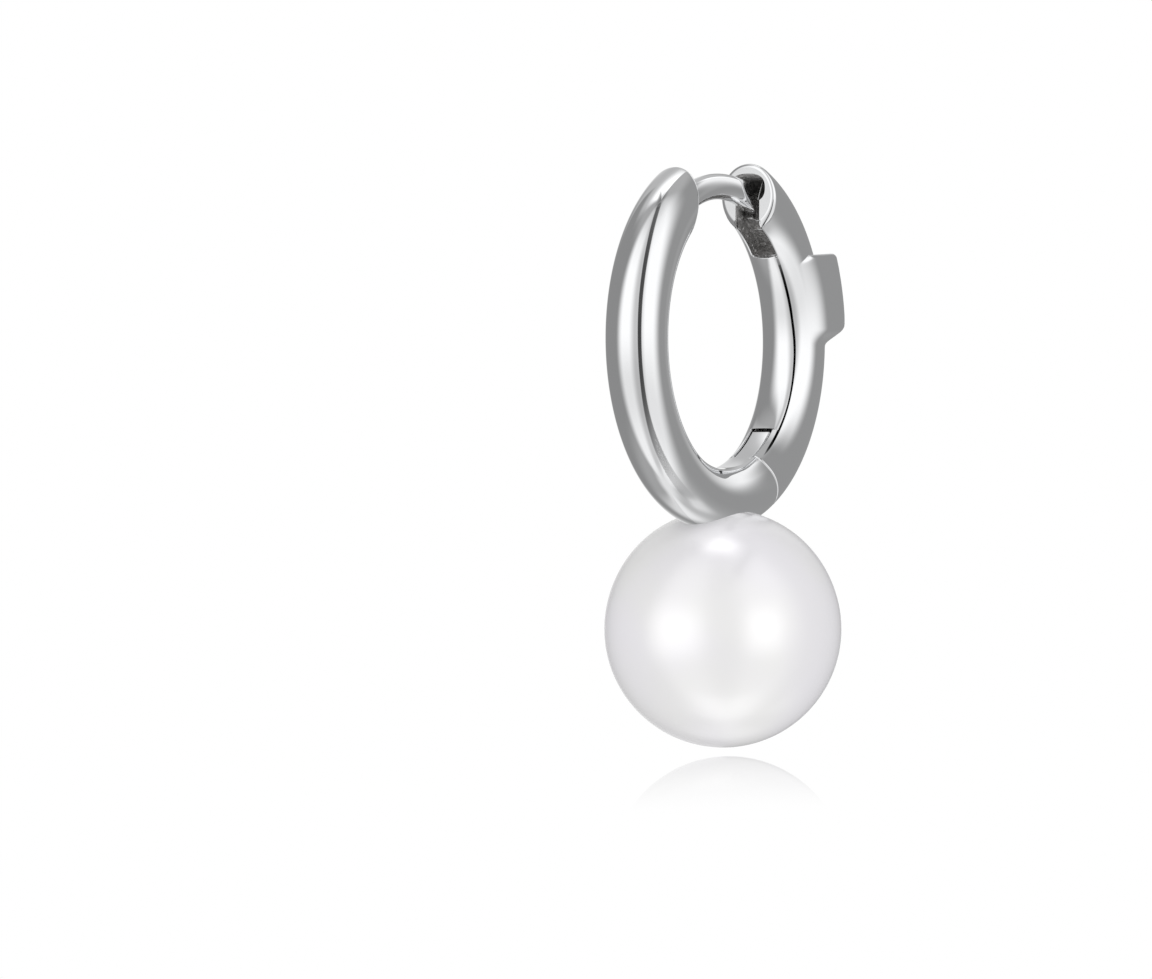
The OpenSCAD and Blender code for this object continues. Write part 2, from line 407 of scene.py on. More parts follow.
def castRecess():
    # unpolished casting inside the channel, the socket and the slot: dull grey with a fine grain and small
    # bright specks on its side walls; painted light makes the side walls and the socket's mouth paler, and
    # painted shade darkens it deep in the socket
    material, s = newMaterial("castRecess")
    place = s.tree.nodes.new("ShaderNodeTexCoord").outputs["Object"]
    normal = s.tree.nodes.new("ShaderNodeNewGeometry").outputs["Normal"]
    noise = s.node("ShaderNodeTexNoise", Vector=place, Scale=cast["grain"], Detail=5.0, Roughness=0.7)
    grain = noise.outputs["Fac"]
    # how far a face turns sideways, as on the side walls, which get painted light and most of the specks
    wall = s.ease(s.math("ABSOLUTE", s.dot(normal, (0.0, 1.0, 0.0))), 0.3, 0.8)
    cells = s.node("ShaderNodeTexVoronoi", Vector=place, Scale=cast["specks"])
    middle = s.ease(cells.outputs["Distance"], 0.12, 0.30, 1.0, 0.0)
    speck = s.product(middle, s.total(s.product(wall, 0.7), 0.3))
    # distance behind the end plane, and height, in mm
    lean = math.tan(math.radians(arm["plane"]["lean"]))
    behind = s.math("SUBTRACT", s.dot(place, (1.0 / mm, 0.0, -lean / mm)), arm["plane"]["x"])
    a, b, c, d = cast["deep"]
    inSocket = s.ease(s.dot(place, (0.0, 0.0, 1.0 / mm)), c, d)
    # painted shade: the casting turns darker deep in the socket, behind the end plane
    unshaded = s.math("SUBTRACT", 1.0, s.product(s.ease(behind, a, b), inSocket, cast["paintedShade"]))
    # painted light: the socket is paler near its mouth, where light comes in
    low, high, strength = cast["near"]
    mouthLight = s.product(s.ease(behind, low, high, strength, 0.0), inSocket)
    # shine of the casting: its grain, painted light on the side walls and at the mouth, and the specks
    shine = s.total(s.ease(grain, 0.38, 0.72, 0.0, 0.6), s.product(wall, 0.25), speck, mouthLight)
    # colour of the casting: grain and specks, paler where painted light is, darker under the painted shade
    tone = s.tree.nodes.new("ShaderNodeVectorMath")
    tone.operation = "SCALE"
    s.join(tone.inputs[0], s.tinted(s.product(shine, unshaded), cast["dark"], cast["light"]))
    s.join(tone.inputs["Scale"], unshaded)
    bump = s.node("ShaderNodeBump", Height=s.math("ADD", grain, speck), Distance=cast["bump"], Strength=0.8)
    lost = s.total(*[s.product(value, share) for value, share in zip((speck, mouthLight, wall), cast["dull"])])
    metal = s.node("ShaderNodeBsdfPrincipled", Base_Color=tone.outputs[0], Roughness=cast["roughness"],
                   Metallic=s.math("SUBTRACT", 1.0, lost), Normal=bump.outputs[0])
    return finishMaterial(material, metal.outputs[0])


def satinSilver():
    # end faces: ground flat and only half polished, with fine streaks
    material, s = newMaterial("satinSilver")
    place = s.tree.nodes.new("ShaderNodeTexCoord").outputs["Object"]
    streaks = s.node("ShaderNodeTexNoise", Vector=place, Scale=silver["streaks"], Detail=3.0)
    rough = s.ease(streaks.outputs["Fac"], 0.3, 0.75, *silver["satinRoughness"])
    metal = s.node("ShaderNodeBsdfPrincipled", Base_Color=silver["satin"], Metallic=1.0, Roughness=rough)
    return finishMaterial(material, metal.outputs[0])


pearlLook = {
    "rose": (0.945, 0.93, 0.965, 1), "cream": (0.935, 0.93, 0.925, 1), "cloud": 190.0,
    "metal": 0.13, "roughness": 0.26, "ior": 1.35,
    "coat": {"Weight": 0.6, "Roughness": 0.15, "IOR": 1.38},
}


def nacre():
    # creamy white layers under a soft gloss, with a faint rosy and creamy shift that wanders over the pearl
    material, s = newMaterial("nacre")
    place = s.tree.nodes.new("ShaderNodeTexCoord").outputs["Object"]
    cloud = s.node("ShaderNodeTexNoise", Vector=place, Scale=pearlLook["cloud"], Detail=2.0)
    tone = s.tinted(s.ease(cloud.outputs["Fac"], 0.35, 0.65), pearlLook["rose"], pearlLook["cream"])
    skin = s.node("ShaderNodeBsdfPrincipled", Base_Color=tone, Metallic=pearlLook["metal"],
                  Roughness=pearlLook["roughness"], IOR=pearlLook["ior"])
    for key, value in pearlLook["coat"].items():
        skin.inputs["Coat " + key].default_value = value
    return finishMaterial(material, skin.outputs[0])


silverMaterial, castMaterial = polishedSilver(), castRecess()
satinMaterial, pearlMaterial = satinSilver(), nacre()
print("earring: studio and finishes ready")

hoop = {
    "plane": {"x": -2.55, "lean": 12.0, "side": -1.0},  # upper end face
    "rim": 0.16,          # mm, its rounded edge
    "split": 293.0,       # degrees, joint to the latch arm
    "splitBevel": 0.045,  # mm
    "flat": (226.0, 278.0),  # degrees over which the wire gets its flat inner face
    "endGap": 2.2, "endRun": 16.0,   # degrees: first row after the rim, and rows that turn into the end plane
    "cap": (0.0, 0.15, 0.45, 0.75),  # size of the rings of points that close the end faces
    "around": 240, "along": 400, "rimRows": 9,
}


def addHoop():
    # wire outline carried round the ring; at the upper end each ring of points is slid onto the leaning
    # plane, and the rim is a quarter circle: set back by rim (1 - sin), drawn in by rim (1 - cos)
    plane, rim, bevel = hoop["plane"], hoop["rim"], hoop["splitBevel"]
    beta = np.linspace(0, 2 * np.pi, hoop["around"], endpoint=False)[None, :]
    end = float(endAngle(ring["radius"], plane))
    split = math.radians(hoop["split"])
    cap, along = np.array(hoop["cap"]), hoop["along"]
    quarter = np.linspace(0, np.pi / 2, hoop["rimRows"])
    endRows = len(cap) + len(quarter)
    theta = np.concatenate([
        np.full(endRows, end),
        np.linspace(end + math.radians(hoop["endGap"]), split - 2 * bevel / ring["radius"], along),
        split - bevel * (1 - np.sin(quarter)) / ring["radius"], np.full(len(cap), split)])[:, None]
    inset = np.concatenate([np.zeros(len(cap)), rim * (1 - np.sin(quarter[::-1])),
                            np.zeros(along + endRows)])[:, None]
    shrink = np.concatenate([np.full(len(cap), rim), rim * (1 - np.cos(quarter[::-1])), np.zeros(along),
                             bevel * (1 - np.cos(quarter)), np.full(len(cap), bevel)])[:, None]
    scale = np.concatenate([cap, np.ones(along + 2 * len(quarter)), cap[::-1]])[:, None]
    r = (wireOutline(beta, smooth(*hoop["flat"], np.degrees(theta))) - shrink) * scale
    rho, y = ring["radius"] + r * np.cos(beta), r * np.sin(beta)
    slide = 1.0 - smooth(end, end + math.radians(hoop["endRun"]), theta)
    onPlane = endAngle(rho, plane, inset) - end
    points = placed(rho, y, theta + slide * onPlane)
    faces = gridFaces(0, len(theta), hoop["around"], True)
    return newPiece("hoopWire", points, faces, [silverMaterial], "hoop", ["hoop"])


post = {
    # mm, with x and z as in the frame
    "curve": 5.6, "crest": 0.2, "radius": 0.435,  # radius of its arc, x where that is highest, half thickness
    "root": -2.95, "tip": 3.07, "beyond": 3.34,   # x in the hoop's end, at its tip, and at the uncut arc's end
    "undersideX": 1.75, "undersideZ": -0.67, "slope": 16.26,  # flat underside: where it begins, degrees down
    "cut": (0.95, 0.3547, 0.20, 14.0),  # cuts on both sides of the tip: half width at the origin, its loss
                                        # along x and up z, and the power that rounds them into the wire
    "ridge": 0.01, "blade": 0.004,      # top left below the line where the cuts meet, least half width
    "fineFrom": 1.4, "rows": (90, 200), "around": 160,
}


def addPost():
    # circle carried along an arc, and pointed by a flat underside and two side cuts that meet in a ridge
    coarse, fine = post["rows"]
    x = np.unique(np.concatenate([np.linspace(post["root"], post["fineFrom"], coarse),
                                  np.linspace(post["fineFrom"], post["beyond"], fine)]))
    beta = np.linspace(0, 2 * np.pi, post["around"], endpoint=False)[None, :]
    lean = np.arcsin((x - post["crest"]) / post["curve"])[:, None]
    reach = post["curve"] + post["radius"] * np.cos(beta)
    px = np.minimum(post["crest"] + reach * np.sin(lean), post["tip"])
    pz = -post["curve"] + reach * np.cos(lean)
    py = post["radius"] * np.sin(beta) * np.ones_like(px)
    under = post["undersideZ"] - (px - post["undersideX"]) * math.tan(math.radians(post["slope"]))
    pz = np.where(px > post["undersideX"], np.maximum(pz, under), pz)
    # half width left by the side cuts, h - a x - b z, which also gives the height at which they meet
    h, a, b, rounding = post["cut"]
    pz = np.minimum(pz, np.maximum((h - a * px) / b - post["ridge"], under))
    halfWidth = np.maximum(h - a * px - b * pz, post["blade"])
    py = np.sign(py) * softMin(rounding, np.maximum(np.abs(py), 1e-4), halfWidth)
    points = closedTube(np.stack([px, py, pz], -1)) * mm
    faces = gridFaces(0, len(points), post["around"], True)
    return newPiece("earPost", points, faces, [silverMaterial], "hoop", ["hoop"])


hoopWire = addHoop()
earPost = addPost()
print("earring: hoop and ear post made")

tab = {
    "top": 2.70, "edge": 0.15,   # mm: level top edge above the ring's centre, and the rounding of that edge
    "half": 1.305,               # mm, half its width across the ring
    # height above the ring's centre, and radius there of its face, in mm
    "side": [(-0.45, 6.45), (-0.03, 6.54), (0.30, 6.72), (0.60, 6.74), (2.57, 6.77)],
    "outward": 1.25,             # how much further out than the wire's middle that face lies
    "foot": (-4.3, 1.6),         # degrees over which it rises from the wire
    "flare": 124.0,              # degrees round the wire where its sides leave it
    "blend": 9.0, "power": 22.0,     # powers that round its sides into the wire, and its own edges
    "edgeFade": 0.6,             # radians from there over which the rounding of the top edge sets in
    "turnLevel": (1.0, 14.0),    # degrees from the top edge over which the rows turn level with it
    "gap": 2.4, "stepRows": 11,  # degrees without rows beside the top edge, rows of its step back to the wire
}


def sunkenPath(halfWidth, floor, outline, columns, socket=None):
    # outline of a groove from lip to lip, as (outwards x, across y): rounded lip, wall, corner and floor,
    # or, for a socket, lip, wall and a rounded oval
    lip, corner = 0.05, 0.05
    t = np.linspace(0, np.pi / 2, 8)
    top = -outline
    x = [top + lip * (1 - np.cos(t))]
    y = [halfWidth + lip * (1 - np.sin(t))]
    half = columns // 2
    if socket is None:
        wallX = np.linspace(top + lip, floor - corner, 10)[1:-1]
        cx, cy = floor - corner + corner * np.sin(t), halfWidth - corner + corner * np.cos(t)
        left = half - len(t) * 2 - len(wallX)
        fx, fy = np.full(left, floor), np.linspace(cy[-1], 0, left + 2)[1:-1]
        x += [wallX, cx, fx]
        y += [np.full(len(wallX), halfWidth), cy, fy]
    else:
        centre, high, wide, power = socket
        joint = math.asin((halfWidth / wide) ** (power / 2))
        meet = centre - high * math.cos(joint) ** (2 / power)
        wallX = np.linspace(top + lip, meet, 10)[1:-1]
        left = half - len(t) - len(wallX)
        turn = np.linspace(joint, np.pi, left + 1)[:-1]
        x += [wallX, centre - high * np.sign(np.cos(turn)) * np.abs(np.cos(turn)) ** (2 / power)]
        y += [np.full(len(wallX), halfWidth), wide * np.abs(np.sin(turn)) ** (2 / power)]
    x, y = np.concatenate(x), np.concatenate(y)
    return np.concatenate([x, x[::-1]]), np.concatenate([y, -y[::-1]])


def column(*parts):
    # the parts one below another
    return np.concatenate(parts)[:, None]


def armRows(end, ledge):
    # rows from the joint to the end plane: bevel, up to the tab's top edge, the edge's rounding, its step
    # back to the wire, on to the end, and rim. Gives their angle, how far each is set back and drawn in, and
    # for the tab its weight and how far its own rows are set back and drawn in
    split, bevel, rim, edge = math.radians(arm["split"]), arm["splitBevel"], arm["rim"], tab["edge"]
    channelRun, slotRun, socketRun = arm["steps"]
    top = math.degrees(ledge)
    degrees = np.unique(np.round(np.concatenate([
        np.arange(arm["split"] + 1.0, math.degrees(end) - 2.0, arm["pitch"]),
        arm["slotTo"] + np.linspace(-slotRun, slotRun, 7),
        arm["channelFrom"] + np.linspace(-channelRun, channelRun, 7),
        arm["socketFrom"] + np.linspace(-2.1, socketRun, 18),
        arm["ridge"][0] + np.linspace(-1.0, 1.0, 9)]), 3))
    degrees = degrees[np.abs(degrees - top) > tab["gap"]]
    before, after = degrees[degrees < top], degrees[degrees > top]
    quarter = np.linspace(0, np.pi / 2, 9)
    back, inward = 1 - np.sin(quarter), 1 - np.cos(quarter)
    steps = np.linspace(0, 1, tab["stepRows"] + 1)[1:]
    none = [np.zeros_like(part) for part in (quarter, before, quarter, steps, after, quarter)]
    theta = column(split + bevel * back[::-1] / ring["radius"], np.radians(before), ledge + none[2],
                   ledge + none[3], np.radians(after), end + none[5])
    inset = column(*none[:5], rim * back)
    shrink = column(bevel * inward[::-1], *none[1:5], rim * inward)
    weight = column(none[0], 1 + none[1], 1 + none[2], 1 - steps, *none[4:])
    weight = weight * np.where(np.degrees(theta) < top + 0.01, smooth(*tab["foot"], np.degrees(theta)), 1.0)
    edgeBack = column(*none[:2], edge * back, *none[3:])
    edgeShrink = column(*none[:2], edge * inward, edge + none[3], *none[4:])
    return theta, inset, shrink, weight, edgeBack, edgeShrink


def armOutside(theta, flat, shrink, weight, edgeShrink):
    # outer outline from lip to lip, as radius and y: the wire, or the tab's wider outline where weight is 1
    wire = ring["wire"]
    lipAngle = np.pi - math.asin(arm["window"] / wire)
    beta = np.linspace(lipAngle, -lipAngle, arm["columns"])[None, :]
    outline = wireOutline(beta, flat) - shrink
    heights, radii = zip(*tab["side"])
    reach = np.interp(ring["radius"] * np.sin(theta) * tab["outward"], heights, radii) - ring["radius"]
    turned, flare = np.abs(beta), math.radians(tab["flare"])
    sides = softMin(tab["blend"], faceDistance(turned, flare, wire),
                    faceDistance(turned, np.pi / 2, tab["half"]))
    wide = softMin(tab["power"], sides, faceDistance(turned, 0.0, reach))
    wide = np.where(turned < flare, wide, wire) - edgeShrink * smooth(flare, flare - tab["edgeFade"], turned)
    r = outline + weight * np.maximum(wide - outline, 0.0)
    return ring["radius"] + r * np.cos(beta), r * np.sin(beta)


def armInside(theta, flat, shrink):
    # inner strip: flush with the wire, or sunk into the outline of slot, channel or socket. Gives its x from
    # the wire's middle, its y, how far each row is sunk, and which of its faces are bright edges
    n, wire, deep, deg = arm["columns"], ring["wire"], ring["flatIn"], np.degrees(theta)
    spread = np.linspace(1, -1, n)[None, :] * arm["window"]
    inner = np.pi - np.arcsin(spread / wire)
    flush = wireOutline(inner, flat) - shrink
    flushX, flushY = flush * np.cos(inner), flush * np.sin(inner)
    slotX, slotY = sunkenPath(*arm["slot"], deep, n)
    room, runOut = arm["slotRoom"]
    room = room * (1 - smooth(arm["split"], arm["split"] + runOut, deg))
    slotX = slotX + room * (slotX + deep) / (arm["slot"][1] + deep)
    lipAt = float(wire * math.cos(math.asin(arm["channel"][0] / wire)))
    channelX, channelY = sunkenPath(*arm["channel"], lipAt, n)
    socketX, socketY = sunkenPath(arm["channel"][0], 0, lipAt, n, arm["socket"])
    channelRun, slotRun, socketRun = arm["steps"]
    toSlot = 1 - smooth(arm["slotTo"] - slotRun, arm["slotTo"] + slotRun, deg)
    toChannel = smooth(arm["channelFrom"] - channelRun, arm["channelFrom"] + channelRun, deg)
    further, wide = arm["notch"]
    socketFrom = arm["socketFrom"] - further * np.exp(-(channelY[None, :] / wide) ** 4)
    toSocket = smooth(-socketRun, socketRun, deg - socketFrom)
    sunk = toSlot + toChannel
    sunkX = np.where(deg < 0, slotX, channelX + toSocket * (socketX - channelX))
    sunkY = np.where(deg < 0, slotY, channelY + toSocket * (socketY - channelY))
    at, wide, high, half = arm["ridge"]
    sunkX = sunkX - high * np.exp(-((deg - at) / wide) ** 2) * (np.abs(sunkY) < half)
    stripY = flushY + sunk * (sunkY - flushY)
    stripX = flushX + sunk * (sunkX - flushX)
    # at the bevel and the rim the strip stays within the drawn-in outline
    rimX = -np.sqrt(np.maximum((wire - shrink) ** 2 - stripY ** 2, 0))
    limit = np.where(deg < 0, -(deep - shrink), rimX)
    stripX = np.where(shrink > 0.0, np.maximum(stripX, limit), stripX)
    near, half, before = arm["polish"]
    across = np.abs(channelY[::-1]) < half
    edges = (at, socketFrom[:, ::-1] - before)
    bright = [(np.abs(deg[1:] - edge) < near) & across for edge in edges]
    return stripX, stripY, sunk, bright[0] | bright[1]


def endFaces(points, n):
    # end faces as straight rows between the outer outline and the inner strip, and their faces
    caps, faces, first = [], [], points.shape[0] * points.shape[1]
    t = np.linspace(0, 1, arm["capRows"])[:, None, None]
    for row, turn in ((0, 1), (-1, -1)):
        caps.append((points[row, :n][None] * (1 - t) + points[row, n:][::-1][None] * t).reshape(-1, 3))
        faces.append(gridFaces(first, len(t), n, False)[:, ::turn])
        first += len(t) * n
    return caps, faces


def addArm():
    # outer outline plus the inner strip, carried round the ring from the joint to the end plane, with the
    # thumb tab as a wider outline between its foot and a level top edge
    n, radius = arm["columns"], ring["radius"]
    end = float(endAngle(radius, arm["plane"]))
    ledge = math.asin(tab["top"] / radius)
    theta, inset, shrink, weight, edgeBack, edgeShrink = armRows(end, ledge)
    flat = 1.0 - smooth(*arm["flat"], np.degrees(theta))
    rho, y = armOutside(theta, flat, shrink, weight, edgeShrink)
    stripX, stripY, sunk, bright = armInside(theta, flat, shrink)
    allRho = np.concatenate([rho, radius + stripX[:, ::-1]], 1)
    allY = np.concatenate([y, stripY[:, ::-1]], 1)
    # turn into the end plane and level with the tab's top edge
    atEnd = smooth(end - math.radians(arm["endRun"]), end, theta)
    onEnd = endAngle(allRho, arm["plane"], inset) - end
    atLedge = 1 - smooth(*np.radians(tab["turnLevel"]), np.abs(theta - ledge))
    level = np.arcsin(np.clip((tab["top"] - edgeBack) / np.maximum(allRho, radius), -1, 1)) - ledge
    # round the heel about the hinge's axis
    axis, heel, runOut = arm["heel"]
    split = math.radians(arm["split"])
    outside = np.clip(allRho - radius - axis, 0.0, heel)
    rounding = (heel - np.sqrt(heel ** 2 - outside ** 2)) / allRho
    rounding = rounding * (1 - smooth(split, split + math.radians(runOut), theta))
    points = placed(allRho, allY, theta + atEnd * onEnd + atLedge * level * (1 - atEnd) + rounding)
    rows, columns = points.shape[:2]
    caps, capFaces = endFaces(points, n)
    # unpolished inside the groove, apart from its lips and its bright edges
    inside = np.zeros((rows - 1, columns), int)
    lip = 9
    inside[:, n + lip:2 * n - lip] = ((sunk[1:, 0] + sunk[:-1, 0]) > 0.6)[:, None]
    inside[:, n:][bright] = 0
    endMaterials = [np.zeros(len(capFaces[0]), int), np.full(len(capFaces[1]), 2)]
    return newPiece("latchArm", np.concatenate([points.reshape(-1, 3), *caps]),
                    np.concatenate([gridFaces(0, rows, columns, True), *capFaces]),
                    [silverMaterial, castMaterial, satinMaterial], "latch_arm",
                    ["latch_arm"], np.concatenate([inside.ravel(), *endMaterials]))


tongue = {
    "half": 0.35, "aside": -0.022,        # mm: half its width, and how far it stands off the ring's plane
    "inner": -1.032, "outer": -0.2, "round": 0.05,  # mm from the wire's middle, and its rounded edges
    "from": 289.0, "to": 312.0,           # degrees
    "sink": 0.03, "sinkRun": 3.0,         # mm that its start lies under the hoop's face, degrees for that
}


def addTongue():
    # rounded rectangle carried along the ring from inside the hoop to the tongue's tip
    half, inner, outer, edge = tongue["half"], tongue["inner"], tongue["outer"], tongue["round"]
    t = np.linspace(0, np.pi / 2, 6)
    corners = [(inner + edge, half - edge, np.pi / 2), (inner + edge, edge - half, np.pi),
               (outer - edge, edge - half, 1.5 * np.pi), (outer - edge, half - edge, 0)]
    x = np.concatenate([cx + edge * np.cos(a + t) for cx, cy, a in corners])
    y = np.concatenate([cy + edge * np.sin(a + t) for cx, cy, a in corners])
    theta = np.linspace(tongue["from"], tongue["to"], 40)[:, None]
    sink = tongue["sink"] * (1 - smooth(tongue["from"], tongue["from"] + tongue["sinkRun"], theta))
    rho, y = ring["radius"] + x[None, :] + sink, y[None, :] + tongue["aside"]
    rows = closedTube(placed(rho, y, np.radians(theta)))
    return newPiece("hingeTongue", rows, gridFaces(0, len(rows), len(x), True), [silverMaterial],
                    "hoop", ["hoop"])


# degrees; mm: from the ring's plane, half width, half depth, and ends measured from the wire's middle
catch = {"at": 59.6, "aside": 0.257, "half": 0.030, "deep": 0.06, "from": -0.02, "to": 0.70, "around": 16}


def addCatch():
    # two bars in the socket that frame the notch for the post's tip: ovals carried along the radius
    turn = np.linspace(0, 2 * np.pi, catch["around"], endpoint=False)[None, :]
    rho = ring["radius"] + np.linspace(catch["from"], catch["to"], 24)[:, None]
    theta = math.radians(catch["at"]) + catch["deep"] * np.sin(turn) / ring["radius"]
    across = catch["half"] * np.cos(turn)
    bars = [closedTube(placed(rho, side * catch["aside"] + across, theta)) for side in (-1, 1)]
    rows, around = bars[0].shape[:2]
    faces = [gridFaces(i * rows * around, rows, around, True) for i in range(2)]
    return newPiece("latchCatch", np.stack(bars), np.concatenate(faces), [satinMaterial],
                    "latch_arm", ["latch_arm"])


addArm()
addCatch()
addTongue()
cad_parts["hinge_pin"].data.materials.clear()
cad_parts["hinge_pin"].data.materials.append(silverMaterial)
print("earring: latch arm and hinge made")

# mm: radius, middle below the ring's centre, and rise of its top; radians of latitude over which it rises
pearl = {"radius": 4.0, "drop": 9.76, "rise": 0.05, "riseFrom": (0.2, 1.2), "up": 121, "around": 180}


def addPearl():
    # sphere in rings of latitude, drawn up by a hair at the top: radius + rise, eased in from the equator
    up = np.linspace(-np.pi / 2, np.pi / 2, pearl["up"])[:, None]
    turn = np.linspace(0, 2 * np.pi, pearl["around"], endpoint=False)[None, :]
    r = pearl["radius"] + pearl["rise"] * smooth(*pearl["riseFrom"], up)
    z = r * np.sin(up) - ring["drop"] - pearl["drop"] + 0 * turn
    points = np.stack([r * np.cos(up) * np.cos(turn), r * np.cos(up) * np.sin(turn), z], -1) * mm
    faces = gridFaces(0, pearl["up"], pearl["around"], True)
    return newPiece("pearlBead", points, faces, [pearlMaterial], "hoop", ["pearl"])


pearlBead = addPearl()
for piece in (hoopWire, earPost, pearlBead):
    piece.visible_glossy = False  # mirrored in the metal they would look harder and darker than in the photo
print("earring: pearl made")

rods = [
    # name, share by which the distance of the mirror may differ, and its middle line: distance to the
    # camera's right, towards the camera, and height, in mm from the ring's centre, then its radius in mm, how
    # solid it is, and how far in mm the metal lies that mirrors it
    ("hoopRod", 1.0, [
        (-1.80, 4.14, 7.67, 0.34, 0.70, 2.0), (-1.89, 5.52, 6.83, 0.40, 0.82, 2.0),
        (-1.88, 6.59, 5.80, 0.44, 0.86, 2.0), (-1.96, 7.38, 4.71, 0.45, 0.88, 2.0),
        (-2.03, 7.96, 3.57, 0.46, 0.88, 2.0), (-2.09, 8.37, 2.40, 0.46, 0.88, 2.0),
        (-2.07, 8.59, 1.21, 0.46, 0.90, 2.0), (-2.07, 8.67, 0.00, 0.46, 0.90, 2.0),
        (-2.06, 8.58, -1.19, 0.46, 0.88, 2.0), (-1.99, 8.34, -2.39, 0.48, 0.86, 2.0),
        (-1.95, 7.92, -3.58, 0.54, 0.80, 2.0), (-1.72, 7.32, -4.70, 0.64, 0.66, 2.0),
        (-1.34, 6.50, -5.73, 0.74, 0.60, 2.0), (-0.87, 5.64, -6.50, 0.80, 0.50, 2.0),
        (-0.43, 4.78, -7.04, 0.80, 0.38, 2.0), (0.36, 3.31, -7.60, 0.80, 0.16, 2.0),
        (0.62, 2.80, -7.84, 0.80, 0.00, 2.0), (0.75, 2.60, -7.95, 0.80, 0.00, 2.0)]),
    ("armRod", 0.13, [
        (2.32, 6.13, -15.34, 1.90, 0.75, 20.0), (1.56, 7.43, -12.40, 1.71, 1.00, 18.0),
        (1.27, 8.35, -9.86, 1.57, 1.00, 16.5), (1.24, 8.64, -7.41, 1.43, 1.00, 15.0),
        (1.53, 8.87, -5.39, 1.33, 1.00, 14.0), (1.73, 8.68, -3.59, 1.24, 1.00, 13.0),
        (2.13, 8.66, -2.07, 1.19, 1.00, 12.5), (2.53, 8.38, -0.58, 1.14, 1.00, 12.0),
        (3.08, 8.36, 0.74, 1.14, 1.00, 12.0), (3.56, 8.13, 2.01, 1.14, 1.00, 12.0),
        (4.03, 7.70, 3.17, 1.14, 1.00, 12.0), (4.67, 7.07, 4.19, 1.14, 1.00, 12.0),
        (5.16, 6.29, 5.10, 1.14, 1.00, 12.0), (5.75, 5.36, 5.87, 1.14, 1.00, 12.0),
        (6.32, 4.28, 6.44, 1.22, 1.00, 12.0), (6.55, 3.09, 6.95, 1.35, 1.00, 12.0),
        (6.81, 1.77, 7.27, 1.48, 1.00, 12.0), (6.86, 0.27, 7.45, 1.55, 1.00, 12.0),
        (7.03, -1.38, 7.26, 1.50, 1.00, 12.0), (7.07, -2.56, 6.97, 1.40, 1.00, 12.0),
        (7.25, -3.33, 6.59, 1.10, 0.90, 12.0), (7.42, -4.10, 6.22, 0.60, 0.00, 12.0)]),
]

# soft says over which facing a rod's edge fades, and fade at how many times its slack it is mirrored no more
rodMesh = {"rings": 110, "smoothing": 24, "around": 32, "soft": (0.25, 0.85), "fade": 1.3}


def addRod(name, slack, path):
    # circle carried along a smoothed line: a dark rod with soft edges, as the edge of a softbox, that is
    # mirrored only from the distance it is meant for
    path, around = np.array(path), rodMesh["around"]
    t = np.linspace(0, len(path) - 1, rodMesh["rings"])
    line = np.stack([np.interp(t, np.arange(len(path)), values) for values in path.T], -1)
    for step in range(rodMesh["smoothing"]):
        line[1:-1] = (line[:-2] + 2 * line[1:-1] + line[2:]) / 4
    radius, stored = line[:, 3, None, None], {"depth": line[:, 4], "mirrorAt": line[:, 5] * mm}
    line = line[:, :3]
    ahead = np.gradient(line, axis=0)
    ahead /= np.linalg.norm(ahead, axis=1, keepdims=True)
    across = np.cross(ahead, line)
    across /= np.linalg.norm(across, axis=1, keepdims=True)
    other = np.cross(ahead, across)
    beta = np.linspace(0, 2 * np.pi, around, endpoint=False)[None, :, None]
    local = line[:, None] + radius * (np.cos(beta) * across[:, None] + np.sin(beta) * other[:, None])
    axes = np.array([levelRight, levelNear, (0.0, 0.0, 1.0)])
    points = (local @ axes - np.array([0, 0, ring["drop"]])) * mm
    mesh = bpy.data.meshes.new(name)
    mesh.from_pydata(points.reshape(-1, 3), [], gridFaces(0, len(line), around, True).tolist())
    mesh.polygons.foreach_set("use_smooth", np.ones(len(mesh.polygons), bool))
    material, s = newMaterial(name)
    read = {}
    for key, values in stored.items():
        layer = mesh.attributes.new(key, "FLOAT", "POINT")
        layer.data.foreach_set("value", np.repeat(values, around).astype(np.float32))
        node = s.tree.nodes.new("ShaderNodeAttribute")
        node.attribute_name = key
        read[key] = node.outputs["Fac"]
    facing = s.node("ShaderNodeLayerWeight", Blend=0.5).outputs["Facing"]
    length = s.tree.nodes.new("ShaderNodeLightPath").outputs["Ray Length"]
    # a ray meets the rod's front and back, so each side takes the square root of what is let through
    side = s.math("SUBTRACT", 1.0, s.math("POWER", s.math("SUBTRACT", 1.0, read["depth"]), 0.5))
    off = s.math("ABSOLUTE", s.math("SUBTRACT", s.math("DIVIDE", length, read["mirrorAt"]), 1.0))
    mirrored = s.ease(off, slack, slack * rodMesh["fade"], 1.0, 0.0)
    solid = s.product(s.ease(facing, *rodMesh["soft"], 1.0, 0.0), side, mirrored)
    dark = s.node("ShaderNodeEmission", Color=black, Strength=0.0)
    mesh.materials.append(finishMaterial(material, s.mixed(solid, s.node("ShaderNodeBsdfTransparent"), dark)))
    piece = bpy.data.objects.new(name, mesh)
    bpy.context.scene.collection.objects.link(piece)
    piece.visible_camera = piece.visible_diffuse = piece.visible_shadow = piece.visible_transmission = False


for rod in rods:
    addRod(*rod)

# height in mm, half its size in m, share of the mirrored pearl that shows, and mm over which that fades
floor = {"level": -19.08, "size": 2.0, "mirror": 0.50, "fade": 46.0}


